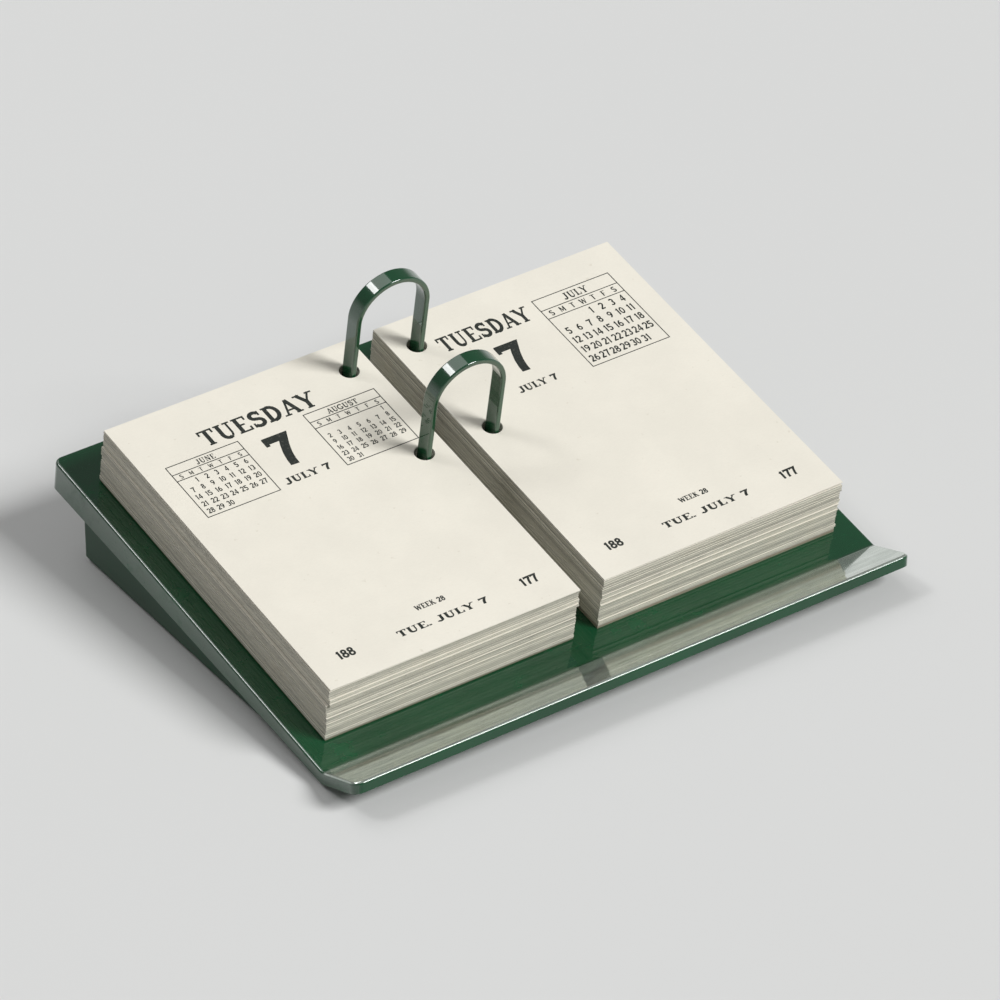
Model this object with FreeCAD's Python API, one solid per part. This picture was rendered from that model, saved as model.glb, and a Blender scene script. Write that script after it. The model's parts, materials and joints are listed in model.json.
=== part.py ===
"""Desk calendar on a sloping steel base, with two lift-off arches, two loose-leaf pads and a shallow drawer.

Row frame, in millimetres: +X to the right, +Y to the back, +Z up. The origin is under the middle of the
whole object, on the table. Deck frame: origin on the fold line between deck and pen lip, +Y up the sloping
deck and +Z square to it; to_row() carries a shape from the deck frame to the row frame."""

import math
import os

import FreeCAD
import Part

from FreeCAD import Vector

# leaves and pads
LEAF_W = 88.9
LEAF_L = 126.0
LEAF_T = 0.3
PAD_T = 19.2
BACKING_T = 0.8
PAD_GAP = 8.8
LEAF_AIR = 0.1
PUNCH_D = 6.6

# deck: one pressed sheet with a turned-down skirt and a turned-up pen lip
SHEET = 1.2
TILT = 10.0
FOLD_Z = 5.5
SIDE_MARGIN = 8.0
FRONT_FLAT = 10.5
BACK_MARGIN = 15.0
SKIRT_BACK = 10.5
SKIRT_FRONT = 4.2
LIP_RUN = 18.2
LIP_RISE = 7.2
LIP_HEM = 4.2
FOLD_R = 3.0
CORNER_R = 3.0
EDGE_R = 0.9

# arches: flat strip bent to a round top
ARCH_SPAN = 25.0
STRIP_T = 1.8
STRIP_W = 5.5
STRIP_EDGE_R = 0.5
ARCH_RISE = 34.0
ARCH_BACK = 12.3
ARCH_PITCH = 41.8
NECK_DEPTH = 0.8
NECK_L = 2.2
NECK_UP = 2.6
SLOT_AIR = 0.3

# arch sockets: U straps under the deck
SOCKET_T = 1.2
SOCKET_W = 9.5
SOCKET_DEPTH = 8.0
SOCKET_EAR = 9.0
LEG_AIR = 0.1
SEAT_AIR = 0.1

# hairpin springs that snap into the arches' necks
WIRE_D = 0.9
WIRE_AIR = 0.3
WIRE_SPREAD = 0.6
WIRE_TAIL = 3.0

# stand: wedge-shaped sheet box under the deck
STAND_SHEET = 1.0
STAND_INSET = 3.0
STAND_FRONT = 6.0
STAND_SETBACK = 11.2
FLANGE_W = 12.0
PLATE_T = 0.8
FOOT_T = 1.5
FOOT_D = 12.0
FOOT_STEM_D = 4.0
FOOT_HEAD_D = 5.6
FOOT_HEAD_T = 0.9
FOOT_ROOM = 2.6
FOOT_IN_Y = 10.0

# fasteners
RIVET_D = 2.6
RIVET_HEAD_D = 4.6
RIVET_HEAD_T = 0.8
SCREW_D = 3.0
SCREW_HEAD_D = 5.4
SCREW_HEAD_T = 1.1
SCREW_TIP = 1.4
DRIVE_SLOT_W = 0.8
DRIVE_SLOT_DEPTH = 0.5
FIT_AIR = 0.05
JOINT_IN = 25.0

# drawer and its runners
DRAWER_SHEET = 0.8
DRAWER_AIR = 0.5
DRAWER_ROOF = 1.6
SOCKET_ROOM = 2.8
LUG_BACK = 6.0
LUG_L = 2.0
LUG_H = 2.0
RUNNER_T = 1.0
RUNNER_BASE = 7.0
RUNNER_H = 6.0
RUNNER_STOP = 3.0
RUNNER_OVERRUN = 3.0
FRONT_LAP_SIDE = 5.0
FRONT_LAP_TOP = 4.5
FRONT_T = 1.2
FRONT_AIR = 0.2
FRONT_CORNER_R = 1.5
LINER_T = 0.8
LINER_AIR = 0.4
KNOB_D = 10.0
KNOB_NECK_D = 5.0
KNOB_NECK_L = 3.0
KNOB_HEAD_L = 5.4
KNOB_EDGE_R = 1.4
KNOB_SCREW_D = 2.5
KNOB_SCREW_L = 6.0
KNOB_SCREW_HEAD_D = 4.4

# worked out
tilt = math.radians(TILT)
half_w = PAD_GAP / 2 + LEAF_W + SIDE_MARGIN
deck_l = FRONT_FLAT + LEAF_L + BACK_MARGIN
depth = deck_l * math.cos(tilt) + SKIRT_BACK * math.sin(tilt)
fold_y = (LIP_RUN - depth) / 2
pad_top = BACKING_T + PAD_T
leaf_z = pad_top + LEAF_AIR
page_top = leaf_z + LEAF_T
leg_end = SEAT_AIR - SHEET - SOCKET_DEPTH
neck_z = leg_end + NECK_UP + NECK_L / 2
leg_reach = ARCH_SPAN / 2 + STRIP_T / 2
wire_y = STRIP_W / 2 - NECK_DEPTH + WIRE_AIR + WIRE_D / 2
arch_rows = [FRONT_FLAT + LEAF_L - ARCH_BACK - n * ARCH_PITCH for n in (0, 1)]
socket_drop = SHEET + SOCKET_DEPTH + SOCKET_T
stand_half = half_w - STAND_INSET
stand_back = deck_l * math.cos(tilt) - STAND_SETBACK
flange_in = STAND_SHEET + FLANGE_W
foot_in_x = flange_in + FOOT_ROOM + FOOT_HEAD_D / 2
joint_rows = (STAND_FRONT + JOINT_IN, stand_back - JOINT_IN)
plate_z = FOOT_T
stand_z = plate_z + PLATE_T
runner_top = stand_z + RUNNER_T
drawer_half = stand_half - foot_in_x - FOOT_HEAD_D / 2 - FOOT_ROOM - RUNNER_T - DRAWER_AIR
drawer_inner = arch_rows[1] * math.cos(tilt) + socket_drop * math.sin(tilt) + SOCKET_W / 2 + SOCKET_ROOM
drawer_z = runner_top + FIT_AIR
socket_low = FOLD_Z + (arch_rows[0] - SOCKET_W / 2) * math.sin(tilt) - socket_drop * math.cos(tilt)
drawer_top = socket_low - DRAWER_ROOF


def save(name, *solids):
    """Writes one node as a STEP file."""
    shape = solids[0] if len(solids) == 1 else Part.makeCompound(list(solids))
    shape.exportStep(f"parts/{name}.step")


def to_row(shape):
    """Carries a shape from the deck frame to the row frame."""
    moved = shape.copy()
    moved.rotate(Vector(0, 0, 0), Vector(1, 0, 0), TILT)
    moved.translate(Vector(0, fold_y, FOLD_Z))
    return moved


def on_floor(shape):
    """Moves a shape built with Y from the fold line into the row frame."""
    moved = shape.copy()
    moved.translate(Vector(0, fold_y, 0))
    return moved


def box(x0, x1, y0, y1, z0, z1):
    return Part.makeBox(x1 - x0, y1 - y0, z1 - z0, Vector(x0, y0, z0))


def rod(d, x, y, z0, z1):
    return Part.makeCylinder(d / 2, z1 - z0, Vector(x, y, z0))


def prism(points, x0, x1):
    """A polygon of (y, z) points, drawn out along X."""
    loop = [Vector(x0, y, z) for y, z in points]
    return Part.Face(Part.makePolygon(loop + loop[:1])).extrude(Vector(x1 - x0, 0, 0))


def round_edges(shape, radius, wanted):
    """Fillets the edges whose middle point passes the test."""
    edges = [e for e in shape.Edges if wanted(e)]
    return shape.makeFillet(radius, edges) if edges else shape


def middle(edge):
    return edge.CenterOfMass


def deck_under(y, drop=0.0):
    """Height of the deck's underside at a distance y behind the fold line."""
    return FOLD_Z + y * math.tan(tilt) - (SHEET + drop) / math.cos(tilt)


# ---------------------------------------------------------------- deck


def deck_outline(inset, overrun):
    """Side outline from the fold line, (y, z): inset moves its faces inwards, overrun its open side down."""
    run = math.hypot(LIP_RUN, LIP_RISE)
    lip_y, lip_z = LIP_RUN / run, LIP_RISE / run
    top_y, top_z = math.cos(tilt), math.sin(tilt)
    half_turn = (math.atan2(lip_z, lip_y) + tilt) / 2
    fold_drop = inset / math.cos(half_turn)
    fold_turn = tilt - half_turn
    fold = (math.sin(fold_turn) * fold_drop, -math.cos(fold_turn) * fold_drop)
    reach_front = (LIP_RUN - inset + fold[0]) / lip_y
    tip = (fold[0] - reach_front * lip_y, fold[1] + reach_front * lip_z)
    reach_back = deck_l - inset - fold[0] * top_y - fold[1] * top_z
    back = (fold[0] + reach_back * top_y, fold[1] + reach_back * top_z)
    down = SKIRT_BACK + overrun
    back_low = (back[0] + down * top_z, back[1] - down * top_y)
    front_low = (0.0, -SKIRT_FRONT - overrun)
    tip_low = (tip[0], LIP_RISE - LIP_HEM - overrun)
    return [tip, fold, back, back_low, front_low, tip_low]


def deck_blank(inset, overrun, fold_r, corner_r):
    """The deck as a filled block, with its fold and its plan corners rounded."""
    points = deck_outline(inset, overrun)
    block = prism(points, inset - half_w, half_w - inset)
    fold_at = points[1]
    block = round_edges(
        block,
        fold_r,
        lambda e: abs(middle(e).x) < 1 and math.dist((middle(e).y, middle(e).z), fold_at) < 0.1,
    )
    front = points[0][0] + 0.1

    def upright(e):
        outer = abs(middle(e).x) > half_w - inset - 0.1
        ends = [v.Point for v in e.Vertexes]
        at_back = all(p.y > points[2][0] - 0.1 for p in ends)
        at_front = all(p.y < front for p in ends)
        return outer and (at_back or at_front)

    return round_edges(block, corner_r, upright)


def deck_plate():
    """Deck, lip and skirt as one sheet, with the rim's outer edge rounded."""
    outer = deck_blank(0, 0, FOLD_R, CORNER_R)
    outline = deck_outline(0, 0)
    near_top = min(SKIRT_FRONT, LIP_HEM) / 4

    def top_rim(e):
        m = middle(e)
        deck_z = m.y * math.tan(tilt) if m.y > 0 else -m.y * LIP_RISE / LIP_RUN
        on_top = m.z > deck_z - near_top
        at_side = abs(m.x) > half_w - CORNER_R
        at_end = m.y < outline[0][0] + CORNER_R or m.y > outline[2][0] - CORNER_R
        return on_top and (at_side or at_end)

    outer = round_edges(outer, EDGE_R, top_rim)
    shell = outer.cut(deck_blank(SHEET, SKIRT_BACK, FOLD_R + SHEET, CORNER_R - SHEET))
    shell.translate(Vector(0, 0, FOLD_Z))
    return shell


def deck_holes():
    """Cutters, in the deck frame, for the arch slots and every rivet."""
    cuts = []
    for row in arch_rows:
        for side in (-1, 1):
            x = side * ARCH_SPAN / 2
            w, t = STRIP_W / 2 + SLOT_AIR, STRIP_T / 2 + SLOT_AIR
            cuts.append(box(x - t, x + t, row - w, row + w, -2 * SHEET, SHEET))
    spots = socket_rivets() + flange_spots()
    return cuts + [rod(RIVET_D + 2 * FIT_AIR, x, y, -2 * SHEET, SHEET) for x, y in spots]


def socket_rivet_x():
    return leg_reach + LEG_AIR + SOCKET_T + SOCKET_EAR / 2


def socket_rivets():
    return [(side * socket_rivet_x(), row) for row in arch_rows for side in (-1, 1)]


def flange_spots():
    """Where each flange of the stand is fastened: to the deck above and to the plate below."""
    x = stand_half - STAND_SHEET - FLANGE_W / 2
    return [(side * x, row) for row in joint_rows for side in (-1, 1)]


def rivets(spots, grip):
    """Flush-topped rivets with a domed head below, each its own solid."""
    made = []
    under = -SHEET - grip
    low = under - RIVET_HEAD_T
    for x, y in spots:
        shank = rod(RIVET_D, x, y, under, 0)
        head = rod(RIVET_HEAD_D, x, y, low, under)
        head = round_edges(head, RIVET_HEAD_T * 0.6, lambda e: abs(middle(e).z - low) < 0.01)
        made.append(to_row(shank.fuse(head)))
    return made


def base_plate():
    shell = on_floor(deck_plate())
    for cutter in deck_holes():
        shell = shell.cut(to_row(cutter))
    return shell


# ---------------------------------------------------------------- arches and their sockets


def arch_strip(row):
    """One arch: two straight legs, a half-round top, and a neck near each end."""
    inner = leg_reach - STRIP_T
    crown = page_top + ARCH_RISE - leg_reach
    y0 = row - STRIP_W / 2
    out = Vector(0, STRIP_W, 0)

    def hoop(r):
        a, b = Vector(-r, y0, leg_end), Vector(-r, y0, crown)
        c, d = Vector(r, y0, crown), Vector(r, y0, leg_end)
        bend = Part.Arc(b, Vector(0, y0, crown + r), c).toShape()
        edges = [Part.makeLine(a, b), bend, Part.makeLine(c, d), Part.makeLine(d, a)]
        return Part.Face(Part.Wire(edges)).extrude(out)

    def long_edge(e):
        return abs(abs(middle(e).y - row) - STRIP_W / 2) < 0.01 and middle(e).z > leg_end + 0.01

    strip = round_edges(hoop(leg_reach).cut(hoop(inner)), STRIP_EDGE_R, long_edge)
    for side in (-1, 1):
        for edge in (-1, 1):
            y = row + edge * (STRIP_W / 2 + NECK_L / 2 - NECK_DEPTH)
            at = Vector(side * ARCH_SPAN / 2 - STRIP_T, y, neck_z)
            strip = strip.cut(Part.makeCylinder(NECK_L / 2, 2 * STRIP_T, at, Vector(1, 0, 0)))
    return to_row(strip)


def arch_spring(row):
    """Hairpin of wire across the socket: each run lies in the necks on one side of the legs."""
    start = -leg_reach - LEG_AIR - SOCKET_T - WIRE_TAIL
    bend = -start - wire_y
    along = Vector(1, 0, 0)
    runs = [
        Part.makeCylinder(WIRE_D / 2, bend - start, Vector(start, row + side * wire_y, neck_z), along)
        for side in (-1, 1)
    ]
    circle = Part.makeCircle(WIRE_D / 2, Vector(bend, row - wire_y, neck_z), along)
    turn = Part.Face(Part.Wire(circle)).revolve(Vector(bend, row, neck_z), Vector(0, 0, 1), 180)
    return to_row(runs[0].fuse(runs[1]).fuse(turn))


def arch_socket(row):
    """U strap that takes both legs of an arch, with an ear each side riveted to the deck."""
    reach = leg_reach + LEG_AIR
    low = -socket_drop
    y0, y1 = row - SOCKET_W / 2, row + SOCKET_W / 2

    def low_bend(e):
        return abs(abs(middle(e).x) - reach - SOCKET_T) < 0.01 and abs(middle(e).z - low) < 0.01

    strap = box(-reach - SOCKET_T, reach + SOCKET_T, y0, y1, low, -SHEET)
    strap = round_edges(strap, SOCKET_T, low_bend)
    strap = strap.cut(box(-reach, reach, y0, y1, low + SOCKET_T, -SHEET))
    ear = reach + SOCKET_T + SOCKET_EAR
    ears = box(-ear, ear, y0, y1, -SHEET - SOCKET_T, -SHEET).cut(box(-reach, reach, y0, y1, low, 0))
    strap = strap.fuse(ears).removeSplitter()
    wire_in, wire_out = wire_y - WIRE_D / 2 - LEG_AIR, wire_y + WIRE_D / 2 + WIRE_SPREAD
    half_h = WIRE_D / 2 + LEG_AIR
    for side in (-1, 1):
        strap = strap.cut(rod(RIVET_D + 2 * FIT_AIR, side * socket_rivet_x(), row, low, 0))
        y_low, y_high = sorted((row + side * wire_in, row + side * wire_out))
        strap = strap.cut(box(-ear, ear, y_low, y_high, neck_z - half_h, neck_z + half_h))
    return to_row(strap)


# ---------------------------------------------------------------- pads


def punched_sheet(side, z0, z1):
    """A leaf-sized slab on one side of the gap, with its two punched holes."""
    inner, outer = PAD_GAP / 2, PAD_GAP / 2 + LEAF_W
    x0, x1 = (inner, outer) if side > 0 else (-outer, -inner)
    slab = box(x0, x1, FRONT_FLAT, FRONT_FLAT + LEAF_L, z0, z1)
    for row in arch_rows:
        slab = slab.cut(rod(PUNCH_D, side * ARCH_SPAN / 2, row, z0 - 1, z1 + 1))
    return to_row(slab)


# ---------------------------------------------------------------- stand, bottom plate and feet


def stand_frame():
    """Wedge-shaped ring of sheet with flanges turned in at the top and bottom of its sides."""

    def wedge(x, y0, y1, low, drop):
        points = [(y0, low), (y1, low), (y1, deck_under(y1, drop)), (y0, deck_under(y0, drop))]
        return prism(points, -x, x)

    t = STAND_SHEET
    y0, y1 = STAND_FRONT, stand_back
    shell = wedge(stand_half, y0, y1, stand_z, 0.0)
    corner = [e for e in shell.Edges if abs(middle(e).y - y1) < 0.01 and abs(middle(e).x) > stand_half - 0.01]
    shell = shell.makeFillet(2 * t, corner)
    shell = shell.cut(wedge(stand_half - t, y0 + t, y1 - t, stand_z + t, t))
    well_x = stand_half - flange_in
    well = box(-well_x, well_x, y0 + t, y1 - t, 0, deck_under(y1))
    shell = shell.cut(well)
    gate_x = drawer_half + DRAWER_AIR
    gate = box(-gate_x, gate_x, y1 - 2 * t, y1 + t, stand_z, drawer_top + DRAWER_AIR)
    shell = on_floor(shell.cut(gate))
    for x, y in flange_spots():
        shell = shell.cut(to_row(rod(RIVET_D + 2 * FIT_AIR, x, y, -4 * SHEET, 0)))
    for x, y in flange_spots():
        shell = shell.cut(on_floor(rod(SCREW_D, x, y, 0, stand_z + 2 * t)))
    return shell


def foot_spots():
    x = stand_half - foot_in_x
    rows = {"front": STAND_FRONT + FOOT_IN_Y, "rear": stand_back - FOOT_IN_Y}
    sides = {"left": -1, "right": 1}
    return {f"{r}_{s}": (sides[s] * x, rows[r]) for r in rows for s in sides}


def bottom_plate():
    plate = box(-stand_half, stand_half, STAND_FRONT, stand_back, plate_z, stand_z)
    plate = round_edges(
        plate,
        2 * STAND_SHEET,
        lambda e: abs(middle(e).x) > stand_half - 0.01 and abs(middle(e).z - (plate_z + stand_z) / 2) < 0.01,
    )
    for x, y in flange_spots():
        plate = plate.cut(rod(SCREW_D + 2 * FIT_AIR, x, y, 0, 2 * stand_z))
    for x, y in foot_spots().values():
        plate = plate.cut(rod(FOOT_STEM_D + 2 * FIT_AIR, x, y, 0, 2 * stand_z))
    return on_floor(plate)


def rubber_foot(x, y):
    pad = rod(FOOT_D, x, y, 0, plate_z)
    pad = round_edges(pad, FOOT_T / 3, lambda e: abs(middle(e).z) < 0.01)
    stem = rod(FOOT_STEM_D, x, y, plate_z, stand_z)
    head = rod(FOOT_HEAD_D, x, y, stand_z, stand_z + FOOT_HEAD_T)
    return on_floor(pad.fuse(stem).fuse(head))


def bottom_screw(x, y):
    head = rod(SCREW_HEAD_D, x, y, plate_z - SCREW_HEAD_T, plate_z)
    low = plate_z - SCREW_HEAD_T
    head = round_edges(head, SCREW_HEAD_T * 0.5, lambda e: abs(middle(e).z - low) < 0.01)
    slot = box(x - SCREW_HEAD_D, x + SCREW_HEAD_D, y - DRIVE_SLOT_W / 2, y + DRIVE_SLOT_W / 2,
               low - 1, low + DRIVE_SLOT_DEPTH)
    shank = rod(SCREW_D - FIT_AIR, x, y, plate_z, stand_z + SCREW_TIP)
    return on_floor(head.cut(slot).fuse(shank))


# ---------------------------------------------------------------- drawer and runners


def drawer_runner(side):
    """Angle rail: the drawer's floor slides on its foot and the upright keeps it straight."""
    inner = drawer_half - RUNNER_BASE
    outer = drawer_half + DRAWER_AIR
    y0 = drawer_inner - RUNNER_OVERRUN
    y1 = stand_back - STAND_SHEET - FIT_AIR
    foot = box(inner, outer + RUNNER_T, y0, y1, stand_z, runner_top)
    upright = box(outer, outer + RUNNER_T, y0, y1, stand_z, stand_z + RUNNER_H)
    stop = box(inner + RUNNER_STOP, outer, y0, y0 + RUNNER_T, runner_top, stand_z + RUNNER_H)
    rail = foot.fuse(upright).fuse(stop).removeSplitter()
    if side < 0:
        rail = rail.mirror(Vector(0, 0, 0), Vector(1, 0, 0))
    return on_floor(rail)


def drawer_tray():
    """Open tray with a stop lug standing on each side wall; the lugs catch behind the stand's rear wall."""
    x, t = drawer_half, DRAWER_SHEET
    y0, y1 = drawer_inner, stand_back + FRONT_AIR
    tray = box(-x, x, y0, y1, drawer_z, drawer_top)

    def low_bend(e):
        return abs(middle(e).z - drawer_z) < 0.01 and abs(middle(e).y - y1) > 0.01

    tray = round_edges(tray, t, low_bend)
    tray = tray.cut(box(-x + t, x - t, y0 + t, y1 - t, drawer_z + t, drawer_top + t))
    lug_y = y0 + LUG_BACK
    for x0 in (-x, x - t):
        tray = tray.fuse(box(x0, x0 + t, lug_y, lug_y + LUG_L, drawer_top - t, drawer_top + LUG_H))
    tray = tray.removeSplitter()
    bore = knob_bore(y1 - 2 * t, 4 * t)
    return on_floor(tray.cut(bore))


def knob_z():
    return (drawer_z + drawer_top) / 2


def knob_bore(y0, length):
    """Cutter for the clearance hole of the knob's screw."""
    at = Vector(0, y0, knob_z())
    return Part.makeCylinder(KNOB_SCREW_D / 2 + FIT_AIR, length, at, Vector(0, 1, 0))


def drawer_front():
    y0 = stand_back + FRONT_AIR
    x = drawer_half + FRONT_LAP_SIDE
    panel = box(-x, x, y0, y0 + FRONT_T, (stand_z + plate_z) / 2, drawer_top + FRONT_LAP_TOP)
    panel = round_edges(panel, FRONT_CORNER_R, lambda e: abs(middle(e).y - y0 - FRONT_T / 2) < 0.01)
    return on_floor(panel.cut(knob_bore(y0 - FRONT_T, 3 * FRONT_T)))


def drawer_knob():
    y0 = stand_back + FRONT_AIR + FRONT_T
    back = Vector(0, 1, 0)
    neck = Part.makeCylinder(KNOB_NECK_D / 2, KNOB_NECK_L, Vector(0, y0, knob_z()), back)
    head = Part.makeCylinder(KNOB_D / 2, KNOB_HEAD_L, Vector(0, y0 + KNOB_NECK_L, knob_z()), back)
    head = head.makeFillet(KNOB_EDGE_R, [e for e in head.Edges if e.Curve.TypeId == "Part::GeomCircle"])
    bore = Part.makeCylinder(KNOB_SCREW_D / 2, KNOB_SCREW_L - FRONT_T, Vector(0, y0, knob_z()), back)
    return on_floor(neck.fuse(head).cut(bore))


def knob_screw():
    inside = stand_back + FRONT_AIR - DRAWER_SHEET
    low = inside - SCREW_HEAD_T
    back = Vector(0, 1, 0)
    head = Part.makeCylinder(KNOB_SCREW_HEAD_D / 2, SCREW_HEAD_T, Vector(0, low, knob_z()), back)
    head = round_edges(head, SCREW_HEAD_T * 0.5, lambda e: abs(middle(e).y - low) < 0.01)
    slot = box(-SCREW_HEAD_D, SCREW_HEAD_D, low - 1, low + DRIVE_SLOT_DEPTH,
               knob_z() - DRIVE_SLOT_W / 2, knob_z() + DRIVE_SLOT_W / 2)
    shank = Part.makeCylinder(KNOB_SCREW_D / 2 - FIT_AIR, KNOB_SCREW_L, Vector(0, inside, knob_z()), back)
    return on_floor(head.cut(slot).fuse(shank))


def drawer_liner():
    x = drawer_half - DRAWER_SHEET - LINER_AIR
    y0 = drawer_inner + DRAWER_SHEET + LINER_AIR
    y1 = stand_back + FRONT_AIR - DRAWER_SHEET - LINER_AIR
    z0 = drawer_z + DRAWER_SHEET
    return on_floor(box(-x, x, y0, y1, z0, z0 + LINER_T))


def build():
    os.makedirs("parts", exist_ok=True)
    save("base_plate", base_plate())
    for name, row in zip(("back", "front"), arch_rows):
        save(f"arch_{name}", arch_strip(row))
        save(f"arch_socket_{name}", arch_socket(row))
        save(f"arch_spring_{name}", arch_spring(row))
    save("socket_rivets", *rivets(socket_rivets(), SOCKET_T))
    save("stand_rivets", *rivets(flange_spots(), STAND_SHEET))
    for name, side in (("left", -1), ("right", 1)):
        save(f"backing_board_{name}", punched_sheet(side, 0, BACKING_T))
        save(f"leaf_pad_{name}", punched_sheet(side, BACKING_T, pad_top))
        save(f"top_leaf_{name}", punched_sheet(side, leaf_z, page_top))
        save(f"drawer_runner_{name}", drawer_runner(side))
    save("stand_frame", stand_frame())
    save("bottom_plate", bottom_plate())
    save("bottom_screws", *[bottom_screw(x, y) for x, y in flange_spots()])
    for name, (x, y) in foot_spots().items():
        save(f"rubber_foot_{name}", rubber_foot(x, y))
    save("drawer_tray", drawer_tray())
    save("drawer_front", drawer_front())
    save("drawer_knob", drawer_knob())
    save("drawer_knob_screw", knob_screw())
    save("drawer_liner", drawer_liner())


build()
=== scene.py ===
"""Looks of a two-pad desk calendar on a sloping enamelled base, and the studio it stands in."""
import json
import math

import bpy
from mathutils import Matrix, Vector
from mathutils.geometry import delaunay_2d_cdt


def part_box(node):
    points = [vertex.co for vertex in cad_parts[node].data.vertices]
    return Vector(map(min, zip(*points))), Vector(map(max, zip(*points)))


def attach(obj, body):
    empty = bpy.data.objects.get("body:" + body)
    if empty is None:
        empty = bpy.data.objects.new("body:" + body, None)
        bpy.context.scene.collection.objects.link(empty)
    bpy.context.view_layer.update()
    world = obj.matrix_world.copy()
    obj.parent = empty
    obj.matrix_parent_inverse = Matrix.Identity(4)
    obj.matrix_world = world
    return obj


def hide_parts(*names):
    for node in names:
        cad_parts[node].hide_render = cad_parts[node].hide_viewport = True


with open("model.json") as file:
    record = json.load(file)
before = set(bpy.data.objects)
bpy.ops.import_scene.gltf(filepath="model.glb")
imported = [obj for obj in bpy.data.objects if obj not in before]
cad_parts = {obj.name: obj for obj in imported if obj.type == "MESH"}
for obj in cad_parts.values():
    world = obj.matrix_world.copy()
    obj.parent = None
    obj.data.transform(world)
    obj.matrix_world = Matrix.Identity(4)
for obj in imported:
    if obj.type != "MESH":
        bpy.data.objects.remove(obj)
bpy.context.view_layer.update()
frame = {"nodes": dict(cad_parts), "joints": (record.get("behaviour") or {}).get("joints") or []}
MM = 0.001
joints = {joint["name"]: joint for joint in frame["joints"]}

# colours, linear
GREEN = (0.0038, 0.058, 0.021)
STAND_GREEN = (0.0038, 0.043, 0.0165)
PRIMER = (0.16, 0.075, 0.045)
# painted highlight: the front lip's upper face as bright metal
PAINTED_LIP_HIGHLIGHT = (0.72, 0.80, 0.73)
PAPER = (0.80, 0.765, 0.67)
# paper edge colour, darker than the paper partly as painted shade between leaves
SHADED_LEAF_EDGE = (0.60, 0.58, 0.49)
PAPER_FLECK = (0.50, 0.44, 0.33)
EDGE_STAIN = (0.52, 0.45, 0.33)
INK = (0.012, 0.017, 0.013)
PULP = (0.27, 0.235, 0.175)
PULP_SPECK = (0.07, 0.06, 0.05)
ZINC = (0.50, 0.51, 0.50)
BLUED = (0.225, 0.2295, 0.225)
ALUMINIUM = (0.66, 0.66, 0.65)
RUBBER = (0.018, 0.018, 0.019)
FELT = (0.026, 0.080, 0.044)
FLOOR = (0.68, 0.685, 0.68)
FLOOR_BOUNCE = (0.56, 0.56, 0.56)
DAYLIGHT = (1.0, 0.995, 0.985)

# one leaf, its punched holes and the curl of the turned one
LEAF_T = 0.30 * MM
PUNCH_R = 3.3 * MM
PUNCH_SIDES = 20
PUNCH_CLEAR = 1.25
PUNCH_SKIN = 0.98
GRID_STEP = 6 * MM
ARCH_STRIP_T = 1.8 * MM
CURL = 0.55 * MM
CURL_SIDE = 0.30
CURL_CORNER = 0.70
CURL_POWER = 2.5

# how loosely the leaves of a pad lie
LEAF_PITCH = 0.331 * MM
LEAF_AIR = 0.008 * MM
FINE_SHIFT = 0.08 * MM
CLUMP_SHIFT = 0.15 * MM
CLUMP_LEAVES = 6
TRIM_SPREAD = 0.0038
TURN_SPREAD = math.radians(0.14)
PILE_SEED = 17

# one random draw for each thing that varies in a pad
DRAW_X, DRAW_Y, DRAW_TURN, DRAW_WIDTH, DRAW_LENGTH, DRAW_TONE, DRAW_START = range(1, 8)
DRAW_CLUMP = 10

# flat outlines: how near counts as the same, and how far a sharp corner's mitre may reach
SAME_PLACE = 1e-9
SLACK = 1e-6
MITRE_LIMIT = 0.45

# the film of ink
INK_RISE = 0.035 * MM
INK_SINK = 0.060 * MM

# a small month: its rules' width and the length of their runs in millimetres
RULE = 0.30 * MM
RULE_RUN = 6.5

# and its layout, in shares of its height, of a column, of a row or of a letter's height
TITLE_DROP = 0.155
TITLE_SIZE = 0.088
TITLE_RISE = 0.32
DAYS_DROP = 0.275
DAYS_RISE = 0.025
DAYS_SIZE = 0.78
MONTH_COLUMNS = 7.4
FIRST_COLUMN = 0.7
SPARE_ROW = 0.25
FIGURE_DROP = 0.88
FIGURE_SIZE = 0.66
FIGURE_SPREAD = 0.88

# how bold each line of a page is set
WEEKDAY_BOLD = 1.08
NUMBER_BOLD = 1.22
LINE_BOLD = 1.2
COUNT_BOLD = 1.25

# Places on a page, in millimetres from its front left corner.
# A spread line has its left end, right end, base and height.
# A number has its left end, base and height.
# A month has its title, the column of the 1st, its days, then left, right, front and back.
LEFT_PAGE = {
    "weekday": (23.5, 64.8, 105.2, 6.8),
    "number": (39.0, 86.3, 13.6),
    "month_line": (36.2, 52.4, 79.6, 2.7),
    "months": [
        ("JUNE", 1, 30, (7.6, 33.3, 78.8, 103.0)),
        ("AUGUST", 6, 31, (57.2, 83.0, 78.4, 103.4)),
    ],
    "foot": (0.0, 9.2),
}
RIGHT_PAGE = {
    "weekday": (14.0, 47.6, 106.6, 6.6),
    "number": (27.6, 88.0, 13.2),
    "month_line": (24.4, 38.8, 80.2, 2.7),
    "months": [("JULY", 3, 31, (51.3, 80.4, 79.7, 113.7))],
    "foot": (-1.0, 9.8),
}
FOOT_PASSED = (9.3, 3.4)
FOOT_LEFT = (74.6, 3.4)
FOOT_WEEK = (46.0, 6.6, 2.0)
FOOT_LINE = (30.0, 62.0, -0.4, 2.5)
WEEK = "WEEK 28"
DAYS_BEFORE_JULY = 181
DAYS_FROM_JULY = 184

# the front lip from its fold to its tip, and where its upper face gets a painted highlight of
# bright metal
LIP_RUN = 18.2 * MM
LIP_RISE = 7.2 * MM
LIP_TOP = 11.4 * MM
LIP_SKIN = (-0.6 * MM, -0.2 * MM)
LIP_FOLD = 2.0 * MM
LIP_HEM = (0.1 * MM, 0.6 * MM)

# the knob's lathe marks, in radians per metre
LATHE_MARKS = 21000

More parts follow.
